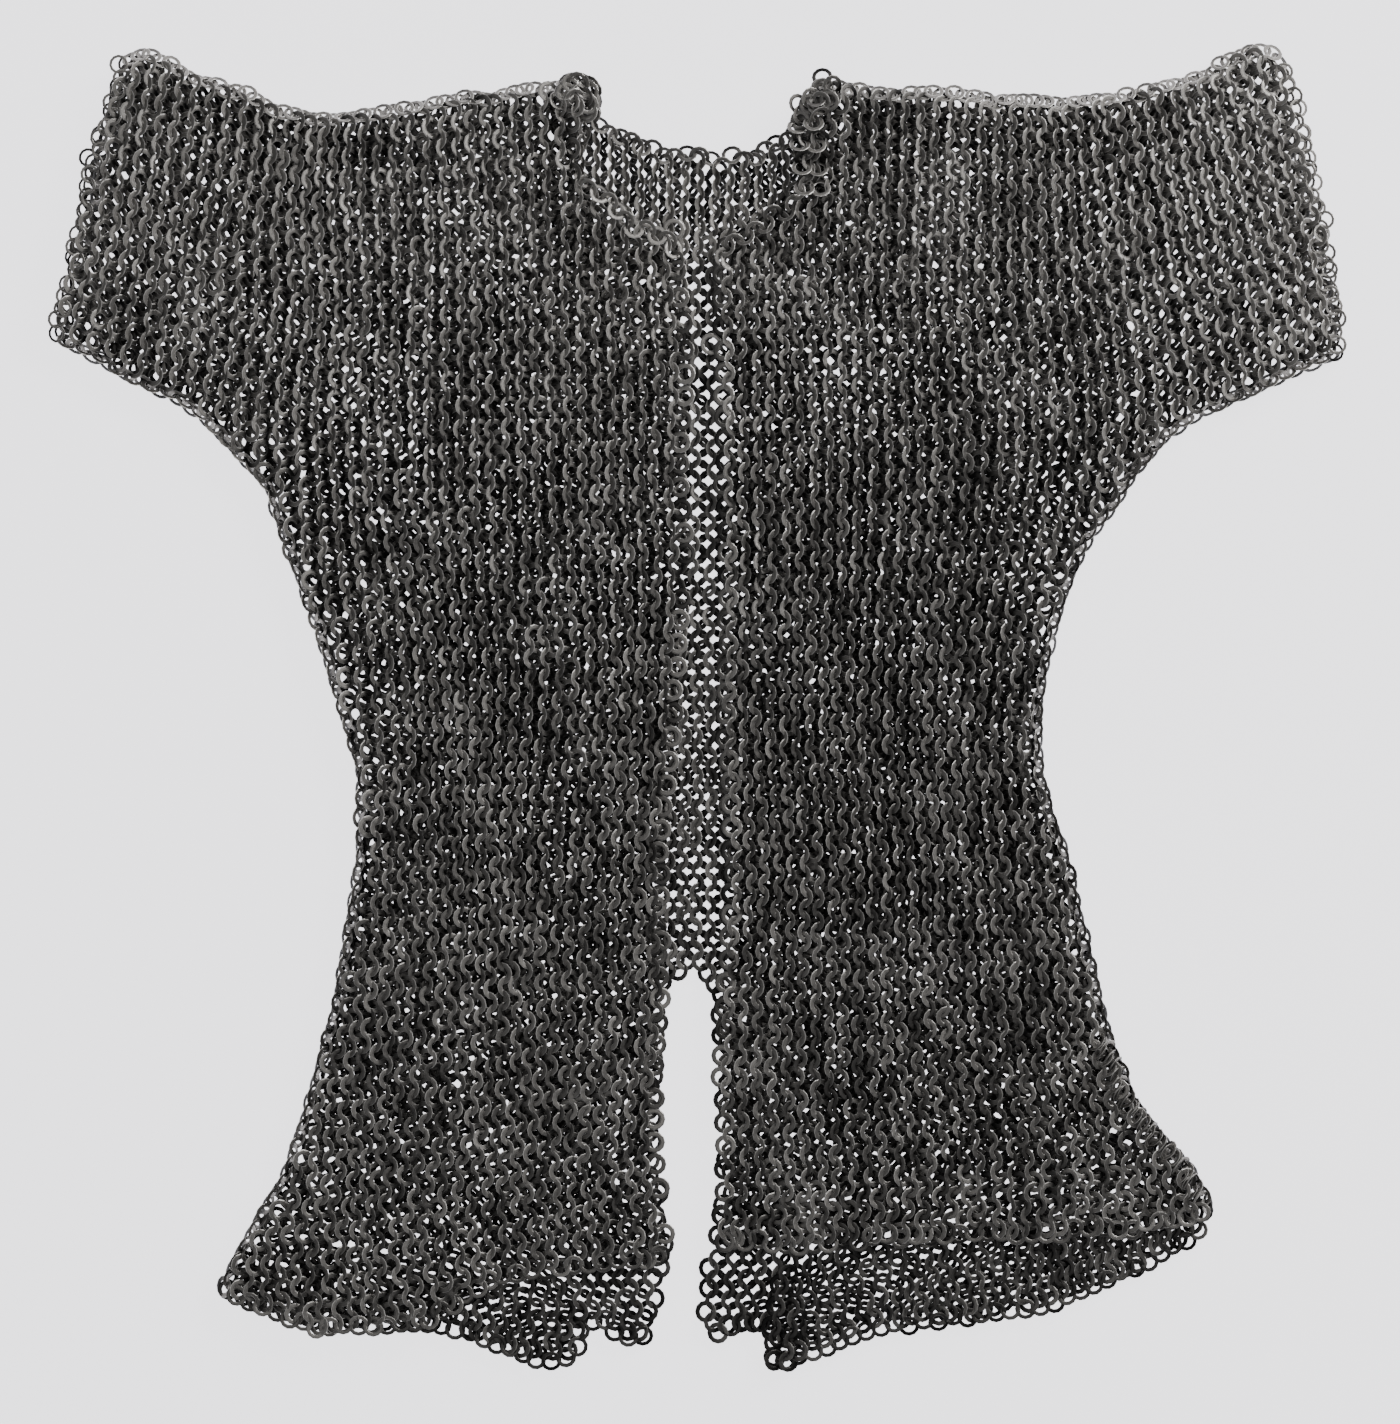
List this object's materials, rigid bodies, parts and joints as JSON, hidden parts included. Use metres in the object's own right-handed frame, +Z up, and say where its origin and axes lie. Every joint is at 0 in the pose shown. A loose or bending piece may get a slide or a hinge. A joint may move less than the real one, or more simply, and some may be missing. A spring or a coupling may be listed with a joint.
{
  "type": "chainmail hauberk",
  "caption": "Short-sleeved mail shirt of interlinked iron rings, open down the front and slit at the back hem, laid flat on its back",
  "frame": {"origin": "under the middle of the laid-out shirt, on the surface it lies on", "axes": "+X to the wearer's left, +Y from the hem to the neck, +Z up from the surface through the fronts"},
  "size_m": [0.8036, 0.825, 0.0231],
  "materials": {
    "iron_rings": "dark wrought iron, browned in the hollows and worn lighter on the ring edges"
  },
  "bodies": {
    "root": {"back_panel": "iron_rings", "front_right": "iron_rings", "front_left": "iron_rings", "sleeve_right": "iron_rings", "sleeve_left": "iron_rings"}
  },
  "joints": []
}
